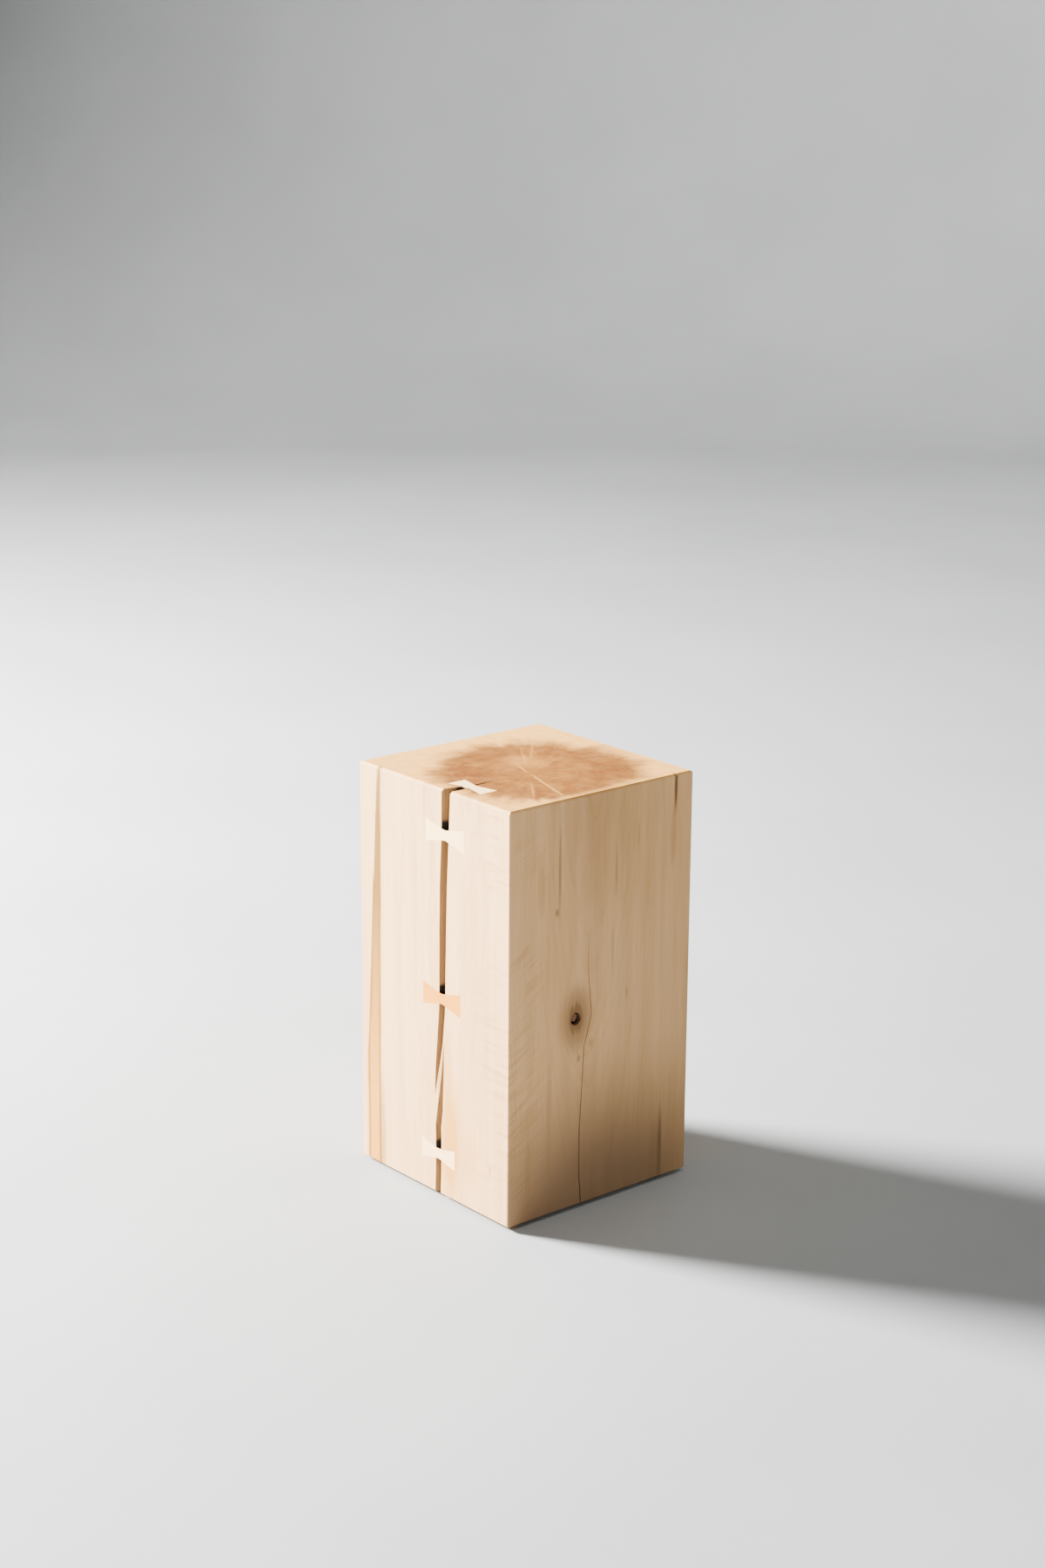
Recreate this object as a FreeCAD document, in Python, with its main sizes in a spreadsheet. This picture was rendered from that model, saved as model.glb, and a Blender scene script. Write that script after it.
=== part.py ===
"""Block side table: one heart-centred timber block on four low glides.

The block split from its front face towards the pith as it dried. The drying check runs the
whole height, and butterfly keys let into the front face and the top tie it across.

Frame: millimetres, +Z up. The origin is on the floor under the middle of the block. The keyed
face looks along -Y and the knotty face along +X.
"""
import math
import os

import FreeCAD, Part
import Sketcher

# Driving sizes in millimetres: name, value, what it sets.
SIZES = (
    ("block_width", 254.0, "timber block across the keyed face"),
    ("block_depth", 254.0, "timber block from the keyed face to the back"),
    ("block_height", 457.2, "length of timber the block is cut from"),
    ("top_chamfer", 2.5, "bevel round the top"),
    ("arris_chamfer", 1.2, "bevel on the upright edges"),
    ("base_chamfer", 1.5, "bevel round the underside"),
    ("pith_offset", 26.0, "heart of the tree, right of the block's middle"),
    ("pith_depth", 110.0, "heart of the tree, behind the keyed face"),
    ("overrun", 2.0, "how far a cutter starts outside the wood"),
    ("key_waist", 11.0, "key across its narrowest part"),
    ("key_waist_radius", 12.0, "round at the waist of a key"),
    ("key_thickness", 20.0, "how deep a key is let in"),
    ("key_lead", 1.0, "bevel on the buried edges of a key, to start it"),
    ("key_glue_gap", 0.1, "glue line between a key and its recess"),
    ("upper_key_length", 64.0, ""),
    ("middle_key_length", 63.0, ""),
    ("lower_key_length", 56.0, ""),
    ("top_key_length", 53.0, ""),
    ("upper_key_wing", 25.5, "upper key across its ends"),
    ("middle_key_wing", 25.5, ""),
    ("lower_key_wing", 22.5, ""),
    ("top_key_wing", 22.5, ""),
    ("upper_key_drop", 49.5, "centre of the upper key below the top of the block"),
    ("middle_key_rise", -3.6, "centre of the middle key above mid height"),
    ("lower_key_rise", 46.0, "centre of the lower key above the underside of the block"),
    ("upper_key_shift", -0.2, "key to the right of the check's middle"),
    ("middle_key_shift", -0.9, ""),
    ("lower_key_shift", -0.6, ""),
    ("top_key_offset", 29.75, "centre of the top key right of the block's middle"),
    ("top_key_setback", 30.0, "centre of the top key behind the keyed face"),
    ("knot_offset", -35.5, "middle of the knot hole behind (+) the knotty face's middle"),
    ("knot_rise", 213.7, "middle of the knot hole above the underside of the block"),
    ("knot_hole_radius", 7.0, "bark ring that crumbled away round the dead knot"),
    ("knot_hole_depth", 24.0, ""),
    ("knot_core_radius", 4.2, "dead knot left standing inside the hole"),
    ("knot_core_shift", -1.4, "core behind (+) the middle of the hole"),
    ("knot_core_lift", 1.1, "core above the middle of the hole"),
    ("knot_core_recess", 2.0, "end of the core below the knotty face"),
    ("hairline_width", 1.3, "fine check beside the knot"),
    ("hairline_depth", 6.0, ""),
    ("end_check_width", 1.0, "short check at the top of the knotty face"),
    ("end_check_depth", 5.0, ""),
    ("end_check_length", 46.0, ""),
    ("end_check_offset", 104.0, "short check behind the knotty face's middle"),
    ("end_check_lean", 3.0, "how far the foot of the short check leans to the front"),
    ("glide_radius", 12.5, ""),
    ("glide_height", 4.0, "gap between the floor and the block"),
    ("glide_bevel", 1.2, "bevel round the foot of a glide"),
    ("glide_inset", 30.0, "centre of a glide from the faces of the block"),
    ("nail_radius", 1.1, ""),
    ("nail_length", 18.0, "nail under its head"),
    ("nail_point", 2.5, "tapered end of a nail"),
    ("nail_head_radius", 3.0, ""),
    ("nail_head_height", 1.0, ""),
    ("nail_head_recess", 1.0, "nail head above the foot of its glide"),
    ("nail_clearance", 0.05, "radial clearance round a nail's shank"),
    ("nail_head_clearance", 0.2, "radial clearance round a nail's head"),
    ("nail_tip_room", 1.0, "pilot hole beyond the nail's point"),
)

TOP = "Sizes.glide_height + Sizes.block_height"
BOTTOM = "Sizes.glide_height"
FRONT = "Sizes.block_depth / 2"
KEY_HEIGHT = {
    "upper": f"{TOP} - Sizes.upper_key_drop",
    "middle": f"{BOTTOM} + Sizes.block_height / 2 + Sizes.middle_key_rise",
    "lower": f"{BOTTOM} + Sizes.lower_key_rise",
}


def between(high, low, share):
    """Height expression a share of the way down from one key to the next."""
    return f"({KEY_HEIGHT[high]}) + (({KEY_HEIGHT[low]}) - ({KEY_HEIGHT[high]})) * {share}"


# The check is two runs that pass each other below the middle key, with a sliver of wood left
# between them. Each station gives its height, the middle and width of the mouth on the front
# face, how far the crack strays sideways inside the block, and its depth.
LONG_RUN = (
    ("crown", f"{TOP} + Sizes.overrun", 22.6, 15.0, 2.5, 68.0),
    ("upper", KEY_HEIGHT["upper"], 21.0, 12.6, 2.0, 88.0),
    ("shoulder", between("upper", "middle", 0.30), 18.2, 12.4, 1.5, 88.0),
    ("chest", between("upper", "middle", 0.58), 16.9, 11.8, 0.5, 86.0),
    ("middle", KEY_HEIGHT["middle"], 16.0, 10.6, 0.0, 84.0),
    ("waist", between("middle", "lower", 0.09), 15.3, 10.6, -0.5, 82.0),
    ("hip", between("middle", "lower", 0.28), 11.8, 9.8, -1.0, 76.0),
    ("thigh", between("middle", "lower", 0.42), 8.0, 7.2, -1.5, 60.0),
    ("tail", between("middle", "lower", 0.62), 3.5, 0.8, -1.0, 20.0),
)
SHORT_RUN = (
    ("tip", between("middle", "lower", 0.27), 18.4, 0.5, 0.5, 12.0),
    ("neck", between("middle", "lower", 0.48), 16.0, 4.0, 1.0, 44.0),
    ("breast", between("middle", "lower", 0.59), 13.9, 6.4, 1.0, 74.0),
    ("belly", between("middle", "lower", 0.70), 11.7, 9.3, 1.5, 84.0),
    ("knee", between("middle", "lower", 0.82), 8.6, 9.8, 1.5, 86.0),
    ("lower", KEY_HEIGHT["lower"], 9.2, 9.8, 1.0, 86.0),
    ("foot", f"{BOTTOM} - Sizes.overrun", 7.6, 9.6, 1.0, 86.0),
)
# Inside the block the crack narrows: share of its depth, share of its mouth's width.
CRACK_TAPER = ((0.22, 0.75), (0.50, 0.26))

# Fine check beside the knot: height above the underside, offset behind the face's middle, and
# its width as a share of hairline_width.
HAIRLINE = (
    (303.0, -19.2, 0.25),
    (262.0, -18.6, 0.6),
    (214.0, -13.6, 1.0),
    (180.0, -23.5, 1.0),
    (136.0, -26.0, 1.0),
    (86.0, -29.0, 1.0),
    (34.0, -28.8, 1.0),
    (-2.0, -25.6, 1.0),
)


def fill_sheet(document):
    """Put every driving size in a spreadsheet, with its name as the cell's alias."""
    sheet = document.addObject("Spreadsheet::Sheet", "Sizes")
    rows = list(SIZES)
    for station, _, centre, width, stray, depth in LONG_RUN + SHORT_RUN:
        rows.append((f"check_centre_{station}", centre, "mouth of the check, right of the middle"))
        rows.append((f"check_width_{station}", width, "width of the mouth"))
        rows.append((f"check_stray_{station}", stray, "sideways wander inside the block"))
        rows.append((f"check_depth_{station}", depth, "depth of the check"))
    for row, (alias, value, note) in enumerate(rows, start=1):
        sheet.set(f"A{row}", alias)
        sheet.set(f"B{row}", str(value))
        sheet.set(f"C{row}", note)
        sheet.setAlias(f"B{row}", alias)
    document.recompute()
    return sheet


def new_body(document, label):
    """An empty body, labelled with the name of its sub-part."""
    body = document.addObject("PartDesign::Body", label)
    body.Label = label
    return body


def new_sketch(body, name, role, offset):
    """A sketch on one of the body's own origin planes, moved along the plane's normal."""
    plane = next(item for item in body.Origin.OriginFeatures if item.Role == role)
    sketch = body.newObject("Sketcher::SketchObject", name)
    sketch.AttachmentSupport = [(plane, "")]
    sketch.MapMode = "FlatFace"
    sketch.setExpression("AttachmentOffset.Base.z", offset)
    return sketch


def pin_point(sketch, geometry, position, across, up):
    """Fix one point of a sketch at the place that two expressions give."""
    for kind, expression in (("DistanceX", across), ("DistanceY", up)):
        value = float(sketch.evalExpression(expression))
        index = sketch.addConstraint(Sketcher.Constraint(kind, -1, 1, geometry, position, value))
        sketch.setExpression(f"Constraints[{index}]", expression)


def set_radius(sketch, geometry, expression):
    """Bind the radius of a circle or arc to an expression."""
    value = float(sketch.evalExpression(expression))
    index = sketch.addConstraint(Sketcher.Constraint("Radius", geometry, value))
    sketch.setExpression(f"Constraints[{index}]", expression)


def polygon(body, name, role, offset, points):
    """A closed outline of straight lines through points given as pairs of expressions."""
    sketch = new_sketch(body, name, role, offset)
    places = [
        FreeCAD.Vector(float(sketch.evalExpression(across)), float(sketch.evalExpression(up)), 0)
        for across, up in points
    ]
    count = len(points)
    for index, here in enumerate(places):
        sketch.addGeometry(Part.LineSegment(here, places[(index + 1) % count]))
    for index, (across, up) in enumerate(points):
        following = (index + 1) % count
        sketch.addConstraint(Sketcher.Constraint("Coincident", index, 2, following, 1))
        pin_point(sketch, index, 1, across, up)
    return sketch


def rectangle(body, name, role, offset, width, height):
    """A rectangle centred on the plane's origin."""
    corners = [
        (f"{sign_x} * {width} / 2", f"{sign_y} * {height} / 2")
        for sign_x, sign_y in ((-1, -1), (1, -1), (1, 1), (-1, 1))
    ]
    return polygon(body, name, role, offset, corners)


def circles(body, name, role, offset, rings):
    """Circles, each given by the expressions for its centre and its radius."""
    sketch = new_sketch(body, name, role, offset)
    for index, (across, up, radius) in enumerate(rings):
        x, y, size = (float(sketch.evalExpression(text)) for text in (across, up, radius))
        middle = FreeCAD.Vector(x, y, 0)
        sketch.addGeometry(Part.Circle(middle, FreeCAD.Vector(0, 0, 1), size))
        pin_point(sketch, index, 3, across, up)
        set_radius(sketch, index, radius)
    return sketch


def butterfly(body, name, role, offset, centre, key, growth):
    """Outline of a butterfly key: two flared wings that meet in a rounded waist."""
    sketch = new_sketch(body, name, role, offset)

    def read(expression):
        return float(sketch.evalExpression(expression))

    across, up = centre
    half_length = f"(Sizes.{key}_key_length / 2 + {growth})"
    half_wing = f"(Sizes.{key}_key_wing / 2 + {growth})"
    half_waist = f"(Sizes.key_waist / 2 + {growth})"
    radius = f"(Sizes.key_waist_radius - {growth})"
    middle = FreeCAD.Vector(read(across), read(up), 0)
    rise = read(half_waist) + read(radius)
    slant = FreeCAD.Vector(read(half_length), rise - read(half_wing), 0)
    # The side of a wing leaves the corner at this angle and touches the round of the waist.
    heading = math.atan2(slant.y, slant.x) - math.asin(read(radius) / slant.Length)
    touch = read(radius) * math.sin(-heading)
    sag = read(radius) * math.cos(heading)

    def at(x, y):
        return middle + FreeCAD.Vector(x, y, 0)

    def waist_arc(side):
        circle = Part.Circle(at(0, side * rise), FreeCAD.Vector(0, 0, 1), read(radius))
        start = -side * math.pi / 2 + heading
        return Part.ArcOfCircle(circle, start, start - 2 * heading)

    end_x, end_y = read(half_length), read(half_wing)
    upper_y = rise - sag
    for piece in (
        Part.LineSegment(at(-end_x, end_y), at(-touch, upper_y)),
        waist_arc(1),
        Part.LineSegment(at(touch, upper_y), at(end_x, end_y)),
        Part.LineSegment(at(end_x, end_y), at(end_x, -end_y)),
        Part.LineSegment(at(end_x, -end_y), at(touch, -upper_y)),
        waist_arc(-1),
        Part.LineSegment(at(-touch, -upper_y), at(-end_x, -end_y)),
        Part.LineSegment(at(-end_x, -end_y), at(-end_x, end_y)),
    ):
        sketch.addGeometry(piece)
    for index, kind in enumerate(
        ("Tangent", "Tangent", "Coincident", "Coincident",
         "Tangent", "Tangent", "Coincident", "Coincident")
    ):
        sketch.addConstraint(Sketcher.Constraint(kind, index, 2, (index + 1) % 8, 1))
    for geometry, side_x, side_y in ((0, "-", "+"), (3, "+", "+"), (4, "+", "-"), (7, "-", "-")):
        pin_point(
            sketch, geometry, 1,
            f"{across} {side_x} {half_length}", f"{up} {side_y} {half_wing}",
        )
    for geometry, side in ((1, "+"), (5, "-")):
        pin_point(sketch, geometry, 3, across, f"{up} {side} ({half_waist} + {radius})")
        set_radius(sketch, geometry, radius)
    return sketch


def pad(body, name, sketch, length, reverse=False):
    """Add a prism of the given length on the sketch."""
    feature = body.newObject("PartDesign::Pad", name)
    feature.Profile = sketch
    feature.Reversed = reverse
    feature.setExpression("Length", length)
    return feature


def checked_cut(body, feature):
    """Recompute after a cut, and stop if it took no wood away."""
    before = feature.BaseFeature.Shape.Volume
    body.Document.recompute()
    if not feature.isValid() or feature.Shape.Volume > before - 1.0:
        raise RuntimeError(f"{feature.Name} cut nothing from {body.Label}")


def pocket(body, name, sketch, depth, reverse=False):
    """Cut a straight recess of the given depth from the sketch."""
    feature = body.newObject("PartDesign::Pocket", name)
    feature.Profile = sketch
    feature.Reversed = reverse
    feature.setExpression("Length", depth)
    checked_cut(body, feature)


def bevel(body, name, base, size, wanted):
    """Chamfer the edges of a feature for which wanted(edge) is true."""
    names = [f"Edge{number}" for number, edge in enumerate(base.Shape.Edges, 1) if wanted(edge)]
    feature = body.newObject("PartDesign::Chamfer", name)
    feature.Base = (base, names)
    feature.setExpression("Size", size)
    body.Document.recompute()
    return feature


def level_at(height):
    """Test for edges that lie flat at one height."""
    return lambda edge: all(abs(vertex.Z - height) < 1e-4 for vertex in edge.Vertexes)


def upright(edge):
    """True for an edge that stands straight up."""
    first, last = edge.Vertexes[0], edge.Vertexes[-1]
    return abs(first.X - last.X) < 1e-4 and abs(first.Y - last.Y) < 1e-4


def crack_section(body, station, height):
    """Plan of the check at one height: a wedge from its mouth on the front face to its end."""
    centre = f"Sizes.check_centre_{station}"
    width = f"Sizes.check_width_{station}"
    depth = f"Sizes.check_depth_{station}"
    left = [(f"{centre} - {width} / 2", f"-{FRONT} - Sizes.overrun")]
    right = [(f"{centre} + {width} / 2", f"-{FRONT} - Sizes.overrun")]

    def line_to_pith(share):
        pull = f"(Sizes.pith_offset - {centre}) * {share} * {depth} / Sizes.pith_depth"
        return f"{centre} + {pull}"

    for depth_share, width_share in CRACK_TAPER:
        middle = f"{line_to_pith(depth_share)} + Sizes.check_stray_{station}"
        place = f"-{FRONT} + {depth_share} * {depth}"
        left.append((f"{middle} - {width_share} * {width} / 2", place))
        right.append((f"{middle} + {width_share} * {width} / 2", place))
    end = (line_to_pith(1.0), f"-{FRONT} + {depth}")
    return polygon(
        body, f"check_{station}", "XY_Plane", height, left + [end] + right[::-1]
    )


def cut_check(body, name, stations):
    """Cut one run of the drying check as a ruled wedge through its stations."""
    sections = [crack_section(body, station, height) for station, height, *_ in stations]
    feature = body.newObject("PartDesign::SubtractiveLoft", name)
    feature.Profile = sections[0]
    feature.Sections = sections[1:]
    feature.Ruled = True
    checked_cut(body, feature)


def hairline_outline():
    """Both sides of the fine check, from its fading top down past the underside."""
    def side(sign):
        return [
            (f"{offset} {sign} {share} * Sizes.hairline_width / 2", f"{BOTTOM} + {rise}")
            for rise, offset, share in HAIRLINE
        ]
    return side("-") + side("+")[::-1]


def end_check_outline():
    """A thin wedge that opens at the top of the knotty face and closes as it runs down."""
    offset = "Sizes.end_check_offset"
    mouth = f"{TOP} + Sizes.overrun"
    return [
        (f"{offset} - Sizes.end_check_width / 2", mouth),
        (f"{offset} - Sizes.end_check_lean", f"{TOP} - Sizes.end_check_length"),
        (f"{offset} + Sizes.end_check_width / 2", mouth),
    ]


def key_centre(name):
    """Where a front key sits on its face: across the check at the key's own height."""
    across = f"Sizes.check_centre_{name} + Sizes.{name}_key_shift"
    return across, f"({KEY_HEIGHT[name]})"


TOP_KEY_CENTRE = ("Sizes.top_key_offset", f"(Sizes.top_key_setback - {FRONT})")


def build_block(document):
    """The timber block with its check, key recesses, knot hole, fine checks and pilot holes."""
    body = new_body(document, "timber_block")
    plan = rectangle(
        body, "block_plan", "XY_Plane", BOTTOM, "Sizes.block_width", "Sizes.block_depth"
    )
    sawn = pad(body, "sawn_block", plan, "Sizes.block_height")
    document.recompute()
    sheet = document.getObject("Sizes")
    top = sheet.glide_height + sheet.block_height
    crowned = bevel(body, "top_bevel", sawn, "Sizes.top_chamfer", level_at(top))
    footed = bevel(body, "base_bevel", crowned, "Sizes.base_chamfer", level_at(sheet.glide_height))
    bevel(body, "eased_arrises", footed, "Sizes.arris_chamfer", upright)

    cut_check(body, "long_check", LONG_RUN)
    cut_check(body, "short_check", SHORT_RUN)
    for name in KEY_HEIGHT:
        recess = butterfly(
            body, f"{name}_recess_outline", "XZ_Plane", FRONT,
            key_centre(name), name, "Sizes.key_glue_gap",
        )
        pocket(body, f"{name}_recess", recess, "Sizes.key_thickness")
    recess = butterfly(
        body, "top_recess_outline", "XY_Plane", TOP,
        TOP_KEY_CENTRE, "top", "Sizes.key_glue_gap",
    )
    pocket(body, "top_recess", recess, "Sizes.key_thickness")

    face = "Sizes.block_width / 2"
    hole = ("Sizes.knot_offset", f"{BOTTOM} + Sizes.knot_rise", "Sizes.knot_hole_radius")
    core = (
        "Sizes.knot_offset + Sizes.knot_core_shift",
        f"{BOTTOM} + Sizes.knot_rise + Sizes.knot_core_lift",
        "Sizes.knot_core_radius",
    )
    ring = circles(body, "knot_ring", "YZ_Plane", face, [hole, core])
    pocket(body, "knot_gap", ring, "Sizes.knot_hole_depth")
    mouth = circles(body, "knot_mouth_ring", "YZ_Plane", face, [hole])
    pocket(body, "knot_mouth", mouth, "Sizes.knot_core_recess")
    outline = polygon(body, "hairline_outline", "YZ_Plane", face, hairline_outline())
    pocket(body, "hairline", outline, "Sizes.hairline_depth")
    outline = polygon(body, "end_check_outline", "YZ_Plane", face, end_check_outline())
    pocket(body, "end_check", outline, "Sizes.end_check_depth")

    bore = "Sizes.nail_radius + Sizes.nail_clearance"
    bores = [(across, along, bore) for across, along in glide_places().values()]
    pilots = circles(body, "pilot_circles", "XY_Plane", BOTTOM, bores)
    shank_in_wood = (
        "Sizes.nail_head_recess + Sizes.nail_head_height + Sizes.nail_length - Sizes.glide_height"
    )
    pocket(body, "pilot_holes", pilots, f"{shank_in_wood} + Sizes.nail_tip_room", reverse=True)
    return body


def build_key(document, name, role, offset, centre):
    """One butterfly key, flush with the face that it is let into."""
    body = new_body(document, f"{name}_key")
    outline = butterfly(body, f"{name}_key_outline", role, offset, centre, name, "0")
    blank = pad(body, f"{name}_key_blank", outline, "Sizes.key_thickness", reverse=True)
    document.recompute()
    plane_x, plane_y, plane_z = (0, -1, 0) if role == "XZ_Plane" else (0, 0, 1)
    outward = FreeCAD.Vector(plane_x, plane_y, plane_z)
    seat = float(outline.evalExpression(f"{offset} - Sizes.key_thickness"))
    bevel(
        body, f"{name}_key_lead", blank, "Sizes.key_lead",
        lambda edge: all(abs(v.Point.dot(outward) - seat) < 1e-4 for v in edge.Vertexes),
    )
    return body


def glide_places():
    """Centre of each glide in plan, as expressions, by its name."""
    across = "(Sizes.block_width / 2 - Sizes.glide_inset)"
    along = "(Sizes.block_depth / 2 - Sizes.glide_inset)"
    return {
        "front_left": (f"-{across}", f"-{along}"),
        "front_right": (across, f"-{along}"),
        "rear_left": (f"-{across}", along),
        "rear_right": (across, along),
    }


def turned(document, label, profile, place):
    """A body turned about an upright axis that stands at the given place in plan."""
    body = new_body(document, label)
    outline = polygon(body, f"{label}_profile", "XZ_Plane", "0", profile)
    feature = body.newObject("PartDesign::Revolution", f"{label}_turning")
    feature.Profile = outline
    feature.ReferenceAxis = (outline, ["V_Axis"])
    feature.Angle = 360.0
    body.setExpression("Placement.Base.x", place[0])
    body.setExpression("Placement.Base.y", place[1])
    document.recompute()
    return body


def build_glide(document, name, place):
    """A nail-on glide: a bevelled disc with a counterbore for the nail's head."""
    bore = "Sizes.nail_radius + Sizes.nail_clearance"
    counterbore = "Sizes.nail_head_radius + Sizes.nail_head_clearance"
    seat = "Sizes.nail_head_recess + Sizes.nail_head_height"
    profile = [
        (bore, "Sizes.glide_height"),
        (bore, seat),
        (counterbore, seat),
        (counterbore, "0"),
        ("Sizes.glide_radius - Sizes.glide_bevel", "0"),
        ("Sizes.glide_radius", "Sizes.glide_bevel"),
        ("Sizes.glide_radius", "Sizes.glide_height"),
    ]
    return turned(document, f"{name}_glide", profile, place)


def build_nail(document, name, place):
    """A flat-headed nail, driven up through a glide into the block."""
    under_head = "Sizes.nail_head_recess + Sizes.nail_head_height"
    tip = f"{under_head} + Sizes.nail_length"
    profile = [
        ("0", "Sizes.nail_head_recess"),
        ("Sizes.nail_head_radius", "Sizes.nail_head_recess"),
        ("Sizes.nail_head_radius", under_head),
        ("Sizes.nail_radius", under_head),
        ("Sizes.nail_radius", f"{tip} - Sizes.nail_point"),
        ("0", tip),
    ]
    return turned(document, f"{name}_nail", profile, place)


def build_parts(document):
    """Every sub-part of the table, each with its label and its own shape."""
    parts = [build_block(document)]
    for name in KEY_HEIGHT:
        parts.append(build_key(document, name, "XZ_Plane", FRONT, key_centre(name)))
    parts.append(build_key(document, "top", "XY_Plane", f"({TOP})", TOP_KEY_CENTRE))
    places = glide_places()
    parts += [build_glide(document, name, place) for name, place in places.items()]
    nails = document.addObject("Part::Compound", "glide_nails")
    nails.Label = "glide_nails"
    nails.Links = [build_nail(document, name, place) for name, place in places.items()]
    parts.append(nails)
    return parts


def check_document(document, parts):
    """Stop if any object failed, or any sub-part has no sound shape."""
    document.recompute()
    for item in document.Objects:
        if "Invalid" in item.State or "Error" in item.State:
            raise RuntimeError(f"{item.Label} failed: {item.State}")
    for part in parts:
        if part.Shape.isNull() or not part.Shape.isValid() or not part.Shape.Solids:
            raise RuntimeError(f"{part.Label} has no sound solid")


def main():
    """Build the document and write each sub-part as a STEP file."""
    document = FreeCAD.newDocument("block_side_table")
    fill_sheet(document)
    parts = build_parts(document)
    check_document(document, parts)
    os.makedirs("parts", exist_ok=True)
    for part in parts:
        part.Shape.exportStep(f"parts/{part.Label}.step")
        box = part.Shape.BoundBox
        print(
            f"{part.Label}: {len(part.Shape.Solids)} solid(s), {part.Shape.Volume:.0f} mm3, "
            f"x {box.XMin:.1f}..{box.XMax:.1f} y {box.YMin:.1f}..{box.YMax:.1f} "
            f"z {box.ZMin:.1f}..{box.ZMax:.1f}"
        )


main()
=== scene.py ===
"""Looks of the split-block side table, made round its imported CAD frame.

One heart-centred timber block, split as it dried and tied with butterfly keys, stands on four
low glides. Everything is in metres in the frame's own axes: the keyed face looks along -Y and
the knotty face along +X.
"""
import math
from functools import partial

import bpy
from bpy.props import FloatProperty, FloatVectorProperty, PointerProperty
from mathutils import Matrix, Vector


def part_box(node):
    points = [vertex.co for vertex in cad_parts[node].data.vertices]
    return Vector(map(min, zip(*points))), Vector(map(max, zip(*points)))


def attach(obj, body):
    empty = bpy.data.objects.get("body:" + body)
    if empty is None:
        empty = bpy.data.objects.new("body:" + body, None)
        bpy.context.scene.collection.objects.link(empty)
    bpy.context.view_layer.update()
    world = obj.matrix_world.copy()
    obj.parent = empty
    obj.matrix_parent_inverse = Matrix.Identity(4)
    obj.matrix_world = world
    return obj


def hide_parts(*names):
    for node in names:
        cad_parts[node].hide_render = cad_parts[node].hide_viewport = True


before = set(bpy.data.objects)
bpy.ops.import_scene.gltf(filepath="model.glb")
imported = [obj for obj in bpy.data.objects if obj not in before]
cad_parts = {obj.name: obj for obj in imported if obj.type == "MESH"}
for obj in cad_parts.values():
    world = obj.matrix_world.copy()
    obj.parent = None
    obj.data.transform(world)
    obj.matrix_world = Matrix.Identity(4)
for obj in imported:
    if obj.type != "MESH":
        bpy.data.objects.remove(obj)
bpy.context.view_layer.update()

bl_info = {
    "name": "Split-block side table",
    "version": (1, 0, 0),
    "blender": (4, 5, 0),
    "location": "3D View > Sidebar > Side table",
    "description": "Rebuilds a split timber side table round its CAD frame",
    "category": "Object",
}

MM = 0.001
BODY = "root"
BLOCK_LOW, BLOCK_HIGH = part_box("timber_block")
KEYS = ("upper_key", "middle_key", "lower_key", "top_key")
KEY_BOXES = [[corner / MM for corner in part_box(name)] for name in KEYS]
GLIDES = ("front_left_glide", "front_right_glide", "rear_left_glide", "rear_right_glide")

# In millimetres, as the patterns are.
TOP = BLOCK_HIGH.z / MM
FOOT = BLOCK_LOW.z / MM
FACE = BLOCK_HIGH.x / MM
FRONT = BLOCK_LOW.y / MM
SPLIT_LEFT, SPLIT_RIGHT, SPLIT_END = -6.0, 36.0, -10.0  # a box from the keyed face to the heart
LIP = 14.0  # the split's walls are held near its mouth, and tear freely this far in
RECESS = 20.5  # just over the depth that the top key is let in
RECESS_END = 8.0  # the left end of its recess is left of this
KNOT = (FACE, -35.5, 217.7)
KNOT_HOLE, KNOT_DEPTH = 7.0, 24.0
SKIN = 0.1  # faces this near an outer face are taken as part of it
PITH_TOP = (26.0, -17.0)
PITH_LEAN = (0.035, -0.012)  # the pith wanders this far sideways for each unit of height
HEART_TOP = (22.0, -5.0)  # middle of the ruddy wood, which isn't the pith

TIMBER_COLOURS = ("sap", "end_grain", "heart", "dusk", "flush", "honey", "streak", "foot_shade", "umber")
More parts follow.
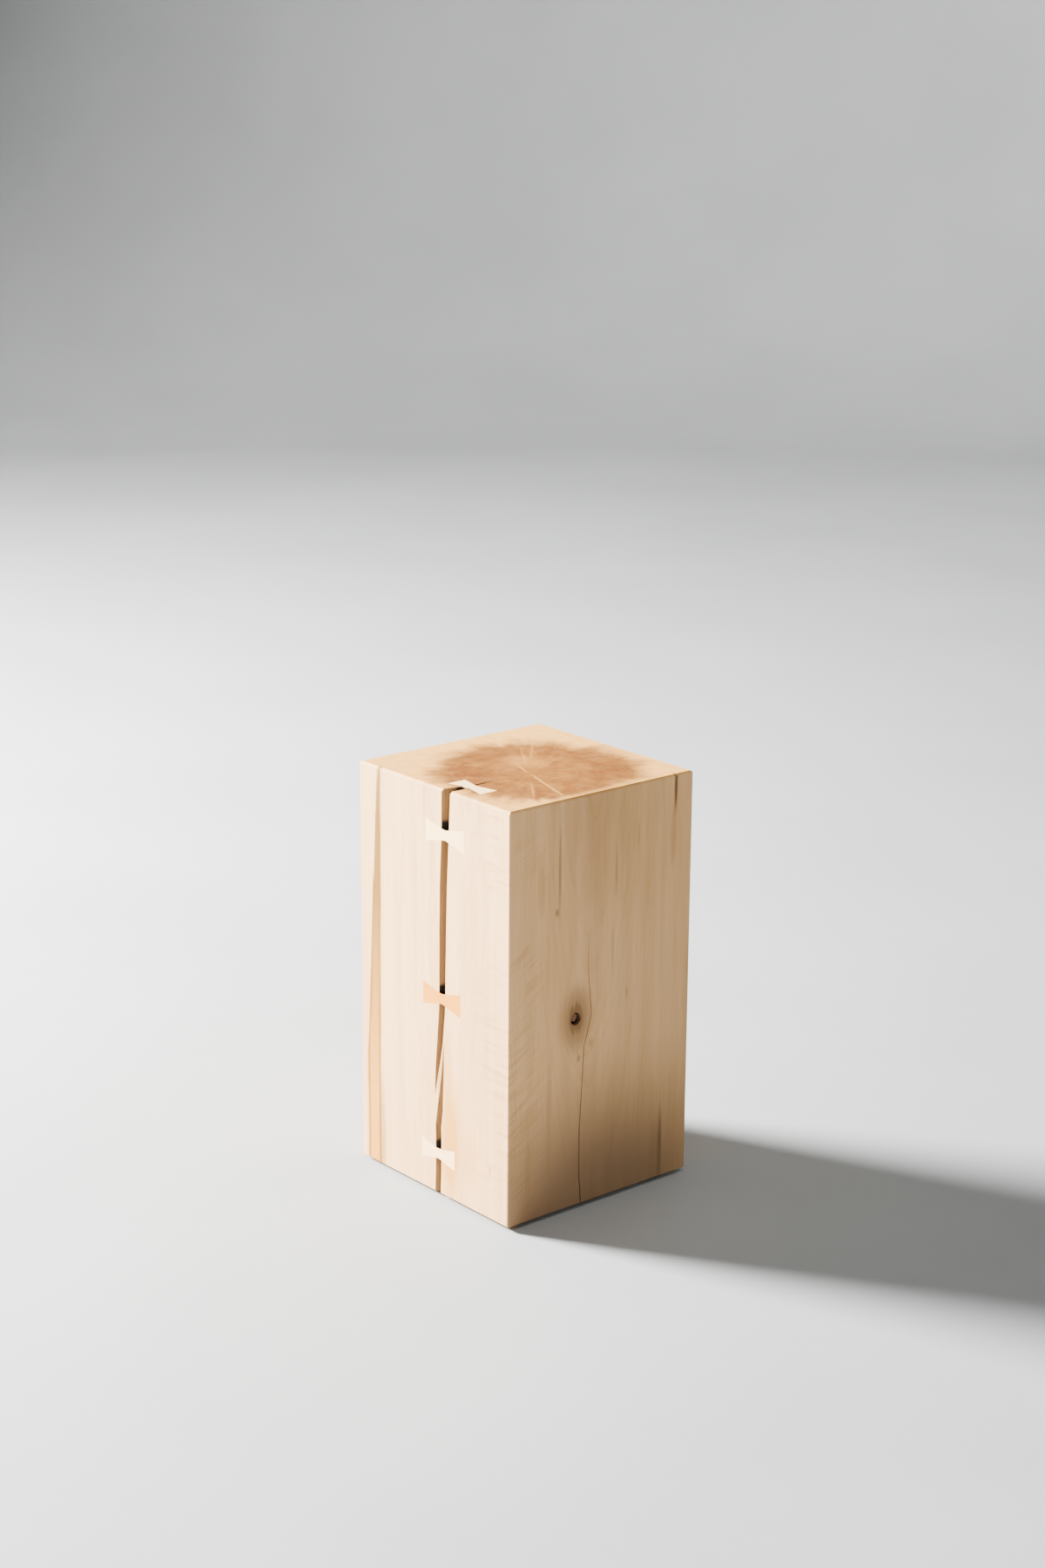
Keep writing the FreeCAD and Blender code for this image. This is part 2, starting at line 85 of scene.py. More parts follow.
# Marks in the wood, and one painted shade at the foot of the knotty face, each a soft spindle: its
# middle and half sizes in millimetres, which colour of the block it takes, and how strongly.
MARKS = (
    ((30, -127, 66), (22, 30, 84), "flush", 0.85),
    ((24, -127, 150), (10, 20, 60), "flush", 0.45),
    ((62, -127, 60), (16, 20, 44), "flush", 0.35),
    ((96, -127, 60), (3.2, 7, 8), "honey", 0.55),
    ((104, -127, 66), (2.4, 7, 5), "honey", 0.4),
    ((-90, -127, 36), (7, 12, 74), "streak", 0.5),
    ((127, 102.5, 446), (12, 2.8, 34), "umber", 0.95),
    ((127, 100, 396), (12, 5.0, 44), "honey", 0.45),
    ((127, 88, 34), (20, 3.6, 60), "umber", 0.8),
    ((127, 80, 30), (20, 10, 48), "honey", 0.35),
    ((127, -59.5, 384), (24, 2.4, 66), "umber", 0.5),
    ((127, -63, 341), (9, 3.0, 6), "umber", 0.6),
    ((127, -84, 372), (20, 7.0, 36), "honey", 0.3),
    ((127, -100, 60), (20, 5.0, 60), "honey", 0.3),
    ((127, -72, 120), (20, 4.0, 90), "honey", 0.25),
    ((127, 19, 372), (16, 2.0, 36), "umber", 0.36),
    ((127, 15, 286), (14, 2.0, 30), "umber", 0.25),
    ((127, 36, 232), (10, 2.6, 9), "umber", 0.3),
    ((127, 50, 404), (14, 2.4, 18), "honey", 0.3),
    ((127, -31, 172), (7, 3.2, 5), "umber", 0.45),
    ((127, -14, 186), (7, 5.0, 7), "umber", 0.25),
    # Painted shade, not a mark in the wood: the knotty face darkens towards the floor.
    ((127, -12, -20), (6, 230, 190), "foot_shade", 0.88),
    ((127, 45, 400), (20, 90, 110), "honey", 0.2),
    ((11, -127, 150), (7, 20, 45), "honey", 0.6),
    ((-10, -62, 461), (40, 22, 60), "dusk", 0.45),
    ((58, 62, 461), (28, 22, 60), "dusk", 0.35),
    ((-46, 76, 461), (34, 26, 60), "dusk", 0.2),
    ((-56, -24, 461), (26, 44, 60), "dusk", 0.28),
    ((78, 44, 461), (24, 34, 60), "dusk", 0.3),
    ((-12, 8, 461), (34, 26, 60), "end_grain", 0.22),
    ((24, -66, 461), (2.0, 16, 14), "umber", 0.35),
)
# Drying star round the pith: direction in degrees from +X, where the ray starts and ends, and
# its half width, in millimetres, and how plain it is.
STAR = (
    (-17.7, 6, 96, 2.0, 0.6),
    (-37.0, 40, 100, 1.6, 0.4),
    (163.0, 4, 40, 2.0, 0.55),
    (145.0, 40, 104, 1.8, 0.35),
    (138.0, 60, 160, 2.2, 0.3),
    (72.0, 6, 52, 1.5, 0.2),
    (18.0, 12, 60, 1.4, 0.2),
    (112.0, 10, 66, 1.4, 0.22),
    (198.0, 14, 70, 1.4, 0.18),
)


def linear(code):
    """An sRGB hex colour as the linear red, green and blue that shaders and properties take."""
    parts = [int(code[i:i + 2], 16) / 255 for i in (0, 2, 4)]
    return [p / 12.92 if p <= 0.04045 else ((p + 0.055) / 1.055) ** 2.4 for p in parts]


def add(tree, kind, *values, out=0, **settings):
    """Add one shader node with its settings, and set or link its inputs.

    Values go to the inputs in order, and None leaves one alone; a single dict goes by name or
    number. Returns the output asked for.
    """
    made = tree.nodes.new("ShaderNode" + kind)
    for name, value in settings.items():
        setattr(made, name, value)
    by_name = len(values) == 1 and isinstance(values[0], dict)
    inputs = values[0] if by_name else dict(enumerate(values))
    for key, value in inputs.items():
        if isinstance(value, bpy.types.NodeSocket):
            tree.links.new(value, made.inputs[key])
        elif value is not None:
            made.inputs[key].default_value = value
    return made.outputs[out]


def blank_material(name):
    """A new node material, the function that adds nodes to it, and its Principled shader."""
    material = bpy.data.materials.new(name)
    material.use_nodes = True
    tree = material.node_tree
    return material, partial(add, tree), tree.nodes["Principled BSDF"]


def connect(shader, **sockets):
    """Link outputs to the shader's inputs; Base_Color stands for Base Color."""
    for name, socket in sockets.items():
        shader.id_data.links.new(socket, shader.inputs[name.replace("_", " ")])


def rgba(colour):
    """A colour with the alpha that a node's socket wants."""
    return (*colour, 1.0)


def millimetres(node):
    """The point being shaded, in millimetres in the frame's axes."""
    return node("VectorMath", node("TexCoord", out="Object"), (1 / MM,) * 3, operation="MULTIPLY")


def cells(node, where, size, detail=2.0, **more):
    """Noise whose cells have the given size along each axis of the vector it reads."""
    scaled = node("VectorMath", where, size, operation="DIVIDE")
    return node("TexNoise", {"Vector": scaled, "Scale": 1.0, "Detail": detail, **more})


def soft(node, value, start, end, *limits):
    """A smooth step of a value, from 0 at start to 1 at end, or between the limits given."""
    return node("MapRange", value, start, end, *limits, interpolation_type="SMOOTHSTEP")


def blend(node, share, first, second):
    """Mix two colours by a share of the second."""
    return node("Mix", {0: share, 6: first, 7: second}, data_type="RGBA", out=2)


class BlockLook(bpy.types.PropertyGroup):
    """Sizes and colours of the timber block."""
    sap: FloatVectorProperty(
        name="Sapwood", description="Pale outer wood", subtype="COLOR", size=3,
        default=linear("E6B681"))
    heart: FloatVectorProperty(
        name="Heartwood", description="Ruddy wood in the middle of the tree", subtype="COLOR",
        size=3, default=linear("7D4916"))
    dusk: FloatVectorProperty(
        name="Dusky heartwood", description="Darker wood in and round the heartwood",
        subtype="COLOR", size=3, default=linear("613413"))
    flush: FloatVectorProperty(
        name="Flush", description="Peach-coloured flush in the sapwood", subtype="COLOR", size=3,
        default=linear("C88830"))
    honey: FloatVectorProperty(
        name="Stain", description="Honey-brown mineral streaks", subtype="COLOR", size=3,
        default=linear("A97C3B"))
    end_grain: FloatVectorProperty(
        name="End grain", description="Sapwood of the top, which soaks up more oil",
        subtype="COLOR", size=3, default=linear("DB9D4C"))
    streak: FloatVectorProperty(
        name="Streak", description="Brown head of the streak down the keyed face",
        subtype="COLOR", size=3, default=linear("7B5314"))
    # Painted shade: a grey-brown that darkens the knotty face towards the floor.
    foot_shade: FloatVectorProperty(
        name="Foot", description="Grey-brown bloom up the knotty face from the floor",
        subtype="COLOR", size=3, default=linear("795F48"))
    umber: FloatVectorProperty(
        name="Dark streak", description="Brown streaks and the dead wood of the knot",
        subtype="COLOR", size=3, default=linear("6B4A2E"))
    walls: FloatVectorProperty(
        name="Split walls", description="Torn wood browned by the air inside the split",
        subtype="COLOR", size=3, default=linear("B08A5C"))
    ring_gap: FloatProperty(
        name="Ring spacing", description="Wood grown in one year", default=3.4 * MM,
        unit="LENGTH", min=1 * MM)
    crumble: FloatProperty(
        name="Crumbled depth", description="How rough the dead knot and the ring round it are",
        default=1.1 * MM, unit="LENGTH", min=0.0)
    tear: FloatProperty(
        name="Torn depth", description="How far the split's walls wander as torn fibre",
        default=2.6 * MM, unit="LENGTH", min=0.0)


class KeyLook(bpy.types.PropertyGroup):
    """Colours of the butterfly keys."""
    pale: FloatVectorProperty(
        name="Pale wood", description="Upper, lower and top keys", subtype="COLOR", size=3,
        default=linear("FDD297"))
    warm: FloatVectorProperty(
        name="Warm wood", description="Middle key", subtype="COLOR", size=3,
        default=linear("D98E22"))


class FeetLook(bpy.types.PropertyGroup):
    """Colours of the glides and their nails."""
    plastic: FloatVectorProperty(
        name="Glides", description="Moulded glide plastic", subtype="COLOR", size=3,
        default=linear("241F1B"))
    zinc: FloatVectorProperty(
        name="Nails", description="Zinc-plated steel", subtype="COLOR", size=3,
        default=linear("B9BCC0"))


class StudioLook(bpy.types.PropertyGroup):
    """Floor, lights and camera."""
    floor: FloatVectorProperty(
        name="Floor", description="Plain pale floor and cove", subtype="COLOR", size=3,
        default=linear("9EA09F"))
    key_power: FloatProperty(
        name="Main light", description="Large soft light from the left", default=2580.0,
        unit="POWER", min=0.0)
    fill_power: FloatProperty(
        name="Fill light", description="Weak soft light from overhead", default=24.0,
        unit="POWER", min=0.0)
    sky: FloatProperty(
        name="Room light", description="Even light from all round", default=0.035, min=0.0)
    lens: FloatProperty(
        name="Focal length", description="Camera lens in millimetres", default=64.93, min=1.0)


def start_edit(piece):
    """Select one piece alone and open it in edit mode with nothing in it selected."""
    bpy.ops.object.select_all(action="DESELECT")
    bpy.context.view_layer.objects.active = piece
    piece.select_set(True)
    bpy.ops.object.mode_set(mode="EDIT")
    bpy.ops.mesh.select_all(action="DESELECT")


def pick_faces(piece, wanted):
    """In edit mode, select the faces for which wanted(centre, normal) holds, in millimetres."""
    bpy.ops.mesh.select_all(action="DESELECT")
    bpy.ops.object.mode_set(mode="OBJECT")
    for face in piece.data.polygons:
        face.select = wanted(face.center / MM, face.normal)
    bpy.ops.object.mode_set(mode="EDIT")


def in_key(point, margin):
    """True for a point in millimetres within a margin of a key's box."""
    return any(
        all(a - margin < p < b + margin for a, p, b in zip(low, point, high))
        for low, high in KEY_BOXES)


def in_split(centre, normal):
    """True for a wall of the drying split, and not for a recess, hole or outer face."""
    inside = SPLIT_LEFT < centre.x < SPLIT_RIGHT and FRONT + SKIN < centre.y < SPLIT_END
    inside = inside and FOOT + SKIN < centre.z < TOP - SKIN
    recess_end = centre.z > TOP - RECESS and centre.x < RECESS_END
    return inside and abs(normal.x) > 0.8 and not recess_end


def in_knot(centre, normal):
    """True for a wall or the floor of the ring round the dead knot, and for the knot's end."""
    away = math.hypot(centre.y - KNOT[1], centre.z - KNOT[2])
    return away < KNOT_HOLE + 0.2 and FACE - KNOT_DEPTH - 6 < centre.x < FACE - SKIN


def copy_of(node, name):
    """A merged copy of a CAD node's mesh as a new piece."""
    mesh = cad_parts[node].data.copy()
    mesh.materials.clear()
    piece = bpy.data.objects.new(name, mesh)
    bpy.context.scene.collection.objects.link(piece)
    start_edit(piece)
    bpy.ops.mesh.select_all(action="SELECT")
    bpy.ops.mesh.remove_doubles(threshold=0.001 * MM)
    bpy.ops.mesh.dissolve_limited(angle_limit=math.radians(0.1))
    bpy.ops.object.mode_set(mode="OBJECT")
    bpy.ops.mesh.customdata_custom_splitnormals_clear()
    return piece


def slice_faces(piece, slot, axis, low, high, step):
    """Cut the faces of one material slot with planes across an axis, a step apart."""
    normal = Vector([float(i == axis) for i in range(3)])
    for number in range(1, math.ceil((high - low) / step)):
        piece.active_material_index = slot
        bpy.ops.mesh.select_all(action="DESELECT")
        bpy.ops.object.material_slot_select()
        bpy.ops.mesh.bisect(plane_co=normal * (low + number * step) * MM, plane_no=normal)


def weigh(piece, name, weight_at):
    """A vertex group whose weights come from each point's place in millimetres."""
    group = piece.vertex_groups.new(name=name)
    for vertex in piece.data.vertices:
        weight = weight_at(vertex.co / MM)
        if weight > 0:
            group.add([vertex.index], weight, "REPLACE")
    return group.name


def points_of_slot(piece, slot):
    """Places in millimetres of all points on the faces of one material slot."""
    found = {v for face in piece.data.polygons if face.material_index == slot
             for v in face.vertices}
    if not found:
        raise RuntimeError(f"no face of {piece.name} took material slot {slot}")
    return {tuple(piece.data.vertices[v].co / MM) for v in found}


def roughen(piece, group, direction, strength, cell, depth):
    """Displace a group of points by cloud noise whose cells have the given size in millimetres."""
    texture = bpy.data.textures.new("tear", "CLOUDS")
    texture.noise_scale = 1.0
    texture.noise_depth = depth
    bpy.ops.object.empty_add(location=(0.37, 0.11, 0.23))
    ruler = bpy.context.object
    ruler.scale = [c * MM for c in cell]
    start_edit(piece)
    bpy.ops.object.mode_set(mode="OBJECT")
    modifier = piece.modifiers.new("tear", "DISPLACE")
    modifier.texture = texture
    modifier.texture_coords = "OBJECT"
    modifier.texture_coords_object = ruler
    modifier.vertex_group = group
    modifier.direction = direction
    modifier.mid_level = 0.5
    modifier.strength = strength
    bpy.ops.object.modifier_apply(modifier=modifier.name)
    bpy.data.objects.remove(ruler)
    bpy.data.textures.remove(texture)


def tree_fields(node):
    """Where a point lies in the tree, in millimetres: its place, and how far out it grew."""
    place = millimetres(node)
    x, y, z = node("SeparateXYZ", place).node.outputs
    # Grain sweeps round the branch, on the knotty side of the heart only.
    off = node("VectorMath", place, KNOT, operation="SUBTRACT")
    spread = node("VectorMath", off, (0, 1 / 13, 1 / 24), operation="MULTIPLY")
    reach = node("VectorMath", spread, operation="LENGTH", out="Value")
    square = node("Math", reach, reach, operation="MULTIPLY")
    bell = node("Math", node("Math", square, -0.5, operation="MULTIPLY"), operation="EXPONENT")
    near = node("Math", bell, node("MapRange", x, 50, 120), operation="MULTIPLY")
    off_y = node("SeparateXYZ", off).node.outputs[1]
    shift = node("Math", node("Math", off_y, near, operation="MULTIPLY"), -0.72, y,
                 operation="MULTIPLY_ADD")
    swept = node("CombineXYZ", x, shift, z)
    # Rings lie round a leaning pith, and widen upwards as a cone.
    lean = node("VectorMath", node("CombineXYZ", z, z, z), (*PITH_LEAN, 0), operation="MULTIPLY")
    base = tuple(p - slope * TOP for p, slope in zip(PITH_TOP, PITH_LEAN))
    heart = node("VectorMath", lean, (*base, 0), operation="ADD")
    flat = node("VectorMath", swept, (1, 1, 0), operation="MULTIPLY")
    out_from = node("VectorMath", flat, heart, operation="SUBTRACT")
    radius = node("VectorMath", out_from, operation="LENGTH", out="Value")
    across, along = node("SeparateXYZ", out_from).node.outputs[:2]
    angle = node("Math", across, along, operation="ARCTAN2")
    wobble = node("Math", cells(node, place, (70, 70, 300)), 0.5, operation="SUBTRACT")
    bent = node("Math", wobble, 16.0, radius, operation="MULTIPLY_ADD")
    cone = node("Math", z, -0.035, bent, operation="MULTIPLY_ADD")
    age = node("Math", near, -7.0, cone, operation="MULTIPLY_ADD")
    on_top = node("MapRange", z, TOP - 2.0, TOP - 0.5)
    return {"place": place, "x": x, "y": y, "z": z, "swept": swept, "on_top": on_top,
            "radius": radius, "angle": angle, "age": age, "out_from": out_from}


def heartwood(node, tree, broad_ray):
    """How far a point is heartwood, with a lobed soft edge, and how near it is to that edge."""
    aside = tuple(p - h for p, h in zip(PITH_TOP, HEART_TOP))
    middle = node("VectorMath", tree["out_from"], (*aside, 0), operation="ADD")
    spread = node("VectorMath", middle, operation="LENGTH", out="Value")
    lobe = cells(node, tree["swept"], (48, 48, 500), 4.0, Roughness=0.55)
    lobe = node("Math", lobe, 0.5, operation="SUBTRACT")
    edge = node("Math", lobe, 66.0, spread, operation="MULTIPLY_ADD")
    comb = node("Math", broad_ray, 0.5, operation="SUBTRACT")
    edge = node("Math", comb, 40.0, edge, operation="MULTIPLY_ADD")
    below = node("Math", tree["z"], TOP, operation="SUBTRACT")
    coned = node("Math", below, -0.07, edge, operation="MULTIPLY_ADD")
    inside = node("MapRange", tree["x"], 114, 126, 1.0, 0.3)
    hearty = node("Math", soft(node, coned, 133.0, 94.0), inside, operation="MULTIPLY")
    return hearty, soft(node, coned, 46.0, 94.0)


def side_streak(node, tree, ragged):
    """The streak down the keyed face: its flush, and the darker lines at its two edges."""
    middle = node("MapRange", tree["z"], TOP, 135.0, -92.0, -104.8)
    half = node("MapRange", tree["z"], TOP, 135.0, 2.6, 11.0)
    aside = node("Math", tree["x"], middle, operation="SUBTRACT")
    aside = node("Math", aside, operation="ABSOLUTE")
    aside = node("Math", ragged, 8.0, aside, operation="MULTIPLY_ADD")
    inside = node("Math", half, aside, operation="SUBTRACT")
    on_face = node("MapRange", tree["y"], FRONT + 5, FRONT + 2.6)
    flush = node("Math", soft(node, inside, -2.5, 1.5, 0.0, 0.97), on_face, operation="MULTIPLY")
    line = node("Math", inside, 1.6, operation="SUBTRACT")
    line = node("Math", line, operation="ABSOLUTE")
    line = node("Math", soft(node, line, 3.0, 0.4, 0.0, 0.75), on_face, operation="MULTIPLY")
    return flush, line


def growth(node, tree, look, colours):
    """Sapwood and heartwood as they grew. Returns the wood, its fibre and its ragged edge."""
    x, z, swept = tree["x"], tree["z"], tree["swept"]
    # Each year's ring darkens slowly and ends sharply, some rings more than others.
    phase = node("Math", tree["age"], look.ring_gap / MM, operation="DIVIDE")
    late = node("Math", node("Math", phase, operation="FRACT"), 3.0, operation="POWER")
    vary = node("TexNoise", {"W": phase, "Scale": 0.31, "Detail": 1.0}, noise_dimensions="1D")
    ring = node("Math", late, node("MapRange", vary, 0.35, 0.7), operation="MULTIPLY")
    # Fibre 60 mm long, drawn 1 mm wide so that it shows, and bands of colour 12 mm wide.
    fibre = cells(node, swept, (1.1, 1.1, 62), 5.0, Roughness=0.62)
    drift = cells(node, swept, (12, 12, 290), 3.0, Distortion=0.4)
    ragged = node("Math", node("Math", fibre, drift, operation="ADD"), 1.0, operation="SUBTRACT")
    # Rays run out from the pith, about 2 mm apart near the faces.
    spoke = node("CombineXYZ", tree["angle"], tree["radius"], z)
    ray = cells(node, spoke, (0.018, 40, 50))
    broad_ray = cells(node, spoke, (0.11, 60, 90), 3.0)
    # Heartwood: mottled and banded, and darker towards its edge.
    hearty, rim = heartwood(node, tree, broad_ray)
    mottle = cells(node, swept, (17, 17, 120), 4.0, Roughness=0.6)
    years = node("Math", tree["age"], 8.0, operation="DIVIDE")
    band = node("TexNoise", {"W": years, "Scale": 1.0, "Detail": 2.0}, noise_dimensions="1D")
    dusky = node("Math", rim, 0.35, operation="MULTIPLY")
    for field, low, high, share in (
        (mottle, 0.4, 0.66, 0.4), (band, 0.4, 0.64, 0.35), (broad_ray, 0.42, 0.66, 0.3),
    ):
        dusky = node("Math", soft(node, field, low, high), share, dusky,
                     operation="MULTIPLY_ADD")
    ruddy = blend(node, dusky, colours["heart"], colours["dusk"])
    oiled = node("Math", tree["on_top"], 0.9, operation="MULTIPLY")
    wood = blend(node, oiled, colours["sap"], colours["end_grain"])
    wood = blend(node, hearty, wood, ruddy)
    # Each of these browns the wood by its own small share.
    shade = node("Math", node("MapRange", fibre, 0.3, 0.7), 0.10, operation="MULTIPLY")
    for field, low, high, share in (
        (drift, 0.4, 0.72, 0.26), (ring, 0.0, 1.0, 0.20), (ray, 0.3, 0.7, 0.09),
    ):
        shade = node("Math", node("MapRange", field, low, high), share, shade,
                     operation="MULTIPLY_ADD")
    return blend(node, shade, wood, colours["honey"]), fibre, ragged


def curly_figure(node, tree):
    """Where the arris of the keyed and the knotty face is curly: ripples about 5 mm apart."""
    place = node("Mapping", {"Vector": tree["place"], "Rotation": (math.radians(32), 0, 0),
                             "Scale": (60, 46, 4.6)}, vector_type="TEXTURE")
    curl = node("TexNoise", {"Vector": place, "Scale": 1.0, "Detail": 2.0})
    patch = soft(node, cells(node, tree["place"], (70, 70, 90)), 0.42, 0.56)
    share = soft(node, curl, 0.42, 0.66, 0.0, 0.3)
    for within in (node("MapRange", tree["y"], -62, -104), node("MapRange", tree["x"], 50, 100),
                   patch):
        share = node("Math", share, within, operation="MULTIPLY")
    return share


def stained_and_shaded(node, tree, wood, ragged, colours):
    """The wood with its streak down the keyed face and every mark listed at the top, the painted
    shade at the foot among them.
    """
    flush, line = side_streak(node, tree, ragged)
    fade = node("MapRange", tree["z"], 330, 80)
    wood = blend(node, flush, wood, blend(node, fade, colours["streak"], colours["flush"]))
    wood = blend(node, line, wood, colours["streak"])
    for middle, half, colour, strength in MARKS:
        off = node("VectorMath", tree["place"], middle, operation="SUBTRACT")
        share = node("VectorMath", off, half, operation="DIVIDE")
        away = node("VectorMath", share, operation="LENGTH", out="Value")
        fringe = min(0.9, 14 / max(half[:2]))
        away = node("Math", ragged, fringe, away, operation="MULTIPLY_ADD")
        wood = blend(node, soft(node, away, 1.15, 0.3, 0.0, strength), wood, colours[colour])
    return wood


def knot_halo(node, tree, wood, ragged, colour):
    """The wood with an oval of greyed branch wood, darkest at the lip of the knot's hole."""
    off = node("VectorMath", tree["place"], KNOT, operation="SUBTRACT")
    oval = node("VectorMath", off, (0.02, 1.0, 0.66), operation="MULTIPLY")
    away = node("VectorMath", oval, operation="LENGTH", out="Value")
    away = node("Math", ragged, 16.0, away, operation="MULTIPLY_ADD")
    deep = node("MapRange", tree["x"], 60, 100)
    for outer, inner, strength in ((32.0, 10.0, 0.56), (12.0, 6.5, 0.6)):
        branch = node("Math", soft(node, away, outer, inner, 0.0, strength), deep,
                      operation="MULTIPLY")
        wood = blend(node, branch, wood, colour)
    return wood


def drying_star(node, tree, wood, colour):
    """The wood with the rays that opened round the pith, which show on the end grain only."""
    jitter = node("Math", cells(node, tree["place"], (14, 14, 14)), 0.5, operation="SUBTRACT")
    for direction, start, end, half, strength in STAR:
        target = math.radians(90 - direction)
        target = math.atan2(math.sin(target), math.cos(target))
        turn = node("Math", tree["angle"], target, operation="SUBTRACT")
        aside = node("Math", turn, tree["radius"], operation="MULTIPLY")
        aside = node("Math", jitter, 5.0, aside, operation="MULTIPLY_ADD")
        aside = node("Math", aside, operation="ABSOLUTE")
        line = soft(node, aside, 1.3 * half, 0.1 * half, 0.0, 0.75 * strength)
        for near, far in ((start - 4, start + 10), (end + 6, end - 22)):
            line = node("Math", line, node("MapRange", tree["radius"], near, far),
                        operation="MULTIPLY")
        line = node("Math", line, tree["on_top"], operation="MULTIPLY")
        wood = blend(node, line, wood, colour)
    return wood


def timber_material(look):
    """Boxed-heart timber, planed and oiled: pale sapwood, ruddy heart, fine upright fibre."""
    material, node, shader = blank_material("seasoned_timber_planed_oiled")
    tree = tree_fields(node)
    colours = {name: rgba(getattr(look, name)) for name in TIMBER_COLOURS}
    wood, fibre, ragged = growth(node, tree, look, colours)
    wood = blend(node, curly_figure(node, tree), wood, colours["honey"])
    wood = stained_and_shaded(node, tree, wood, ragged, colours)
    wood = knot_halo(node, tree, wood, ragged, colours["umber"])
    wood = drying_star(node, tree, wood, colours["end_grain"])
    connect(shader, Base_Color=wood)
    shader.inputs["Roughness"].default_value = 0.5
    shader.inputs["IOR"].default_value = 1.45
    shader.inputs["Specular IOR Level"].default_value = 0.12
    bump = node("Bump", {"Strength": 0.2, "Distance": 0.15 * MM, "Height": fibre})
    connect(shader, Normal=bump)
    return material


def split_material(look):
    """Torn wood inside the split: browned by the air, with shade painted in darker the deeper it
    goes.
    """
    material, node, shader = blank_material("air_browned_torn_timber")
    place = millimetres(node)
    y = node("SeparateXYZ", place).node.outputs[1]
    fibre = cells(node, place, (3.4, 1.3, 34), 5.0, Roughness=0.7)
    brown = rgba(look.walls)
    dark = rgba([0.2 * c for c in look.walls])
    pocket_shade = rgba([0.02 * c for c in look.walls])
    # Painted shade: the walls darken inwards over the first 15 mm from the keyed face.
    wood = blend(node, node("MapRange", y, FRONT, FRONT + 15, 0.0, 0.9), brown, dark)
    wood = blend(node, soft(node, fibre, 0.42, 0.7, 0.0, 0.5), wood, dark)
    # Against each key the split is a pocket that light hardly reaches; its shade is painted near
    # black.
    for low, high in KEY_BOXES:
        across, along, up = ((a + b) / 2 for a, b in zip(low, high))
        if high[2] < TOP - 1:
            middle, reach = (across, low[1] + 3, up + 9), (30, 13, 7)
        else:
            middle, reach = (across, along - 9, TOP - 4), (30, 6, 12)
        off = node("VectorMath", place, middle, operation="SUBTRACT")
        off = node("VectorMath", off, reach, operation="DIVIDE")
        away = node("VectorMath", off, operation="LENGTH", out="Value")
        wood = blend(node, soft(node, away, 1.2, 0.5), wood, pocket_shade)
    connect(shader, Base_Color=wood)
    shader.inputs["Roughness"].default_value = 0.8
    bump = node("Bump", {"Strength": 0.8, "Distance": 0.6 * MM, "Height": fibre})
    connect(shader, Normal=bump)
    return material


def knot_material(look):
    """Dead branch wood and crumbled bark: dark, dry and matt."""
    material, node, shader = blank_material("dead_knot_dry_matt")
    place = millimetres(node)
    x = node("SeparateXYZ", place).node.outputs[0]
    crumb = cells(node, place, (2.2, 1.3, 1.3), 4.0, Roughness=0.6)
    brown = rgba([1.5 * c for c in look.umber])
    dark = rgba([0.06 * c for c in look.umber])
    wood = blend(node, soft(node, crumb, 0.4, 0.7, 0.0, 0.7), brown, dark)
    # Light hardly reaches deeper than about 5 mm, so the hole is painted near black there as
    # shade.
    wood = blend(node, node("MapRange", x, FACE - 3.2, FACE - 7), wood, dark)
    connect(shader, Base_Color=wood)
    shader.inputs["Roughness"].default_value = 0.9
    bump = node("Bump", {"Strength": 0.7, "Distance": 0.4 * MM, "Height": crumb})
    connect(shader, Normal=bump)
    return material


def key_material(name, colour):
    """Fine straight-grained hardwood, planed flush: grain runs along the key."""
    material, node, shader = blank_material(name)
    place = millimetres(node)
    # Fibre and flecks are drawn over 1 mm wide, coarser than they are, so that they show.
    fibre = cells(node, place, (34, 1.2, 1.2), 4.0, Roughness=0.6)
    fleck = cells(node, place, (5, 2, 1.4), 2.0)
    tone = rgba(colour)
    dark = rgba([c * share for c, share in zip(colour, (0.86, 0.74, 0.6))])
    wood = blend(node, soft(node, fibre, 0.35, 0.72, 0.0, 0.6), tone, dark)
    wood = blend(node, soft(node, fleck, 0.64, 0.74, 0.0, 0.5), wood, dark)
    # The sides that show in the split are painted near black as shade below the face.
    y, z = node("SeparateXYZ", place).node.outputs[1:]
    below_front = node("Math", y, FRONT, operation="SUBTRACT")
    below_top = node("Math", TOP, z, operation="SUBTRACT")
    sunk = node("Math", below_front, below_top, operation="MINIMUM")
    side_shade = rgba([0.03 * c for c in colour])
    wood = blend(node, soft(node, sunk, 0.3, 1.5), wood, side_shade)
    connect(shader, Base_Color=wood)
    shader.inputs["Roughness"].default_value = 0.45
    shader.inputs["Specular IOR Level"].default_value = 0.12
    bump = node("Bump", {"Strength": 0.15, "Distance": 0.1 * MM, "Height": fibre})
    connect(shader, Normal=bump)
    return material


def glide_material(look):
    """Moulded polyethylene: near black, satin, with scuffs from the floor."""
    material, node, shader = blank_material("moulded_polyethylene_satin")
    scuff = cells(node, millimetres(node), (1.7,) * 3, 4.0)
    light = rgba([2.2 * c for c in look.plastic])
    worn = node("MapRange", scuff, 0.55, 0.75)
    connect(shader, Base_Color=blend(node, worn, rgba(look.plastic), light))
    connect(shader, Roughness=node("MapRange", scuff, 0.3, 0.7, 0.38, 0.6))
    return material


def nail_material(look):
    """Zinc-plated steel: dull silver with a cloudy plate."""
    material, node, shader = blank_material("zinc_plated_steel")
    cloud = cells(node, millimetres(node), (0.7,) * 3, 3.0)
    dull = rgba([0.6 * c for c in look.zinc])
    share = node("MapRange", cloud, 0.4, 0.7)
    connect(shader, Base_Color=blend(node, share, rgba(look.zinc), dull))
    connect(shader, Roughness=node("MapRange", cloud, 0.3, 0.7, 0.3, 0.5))
    shader.inputs["Metallic"].default_value = 1.0
    return material


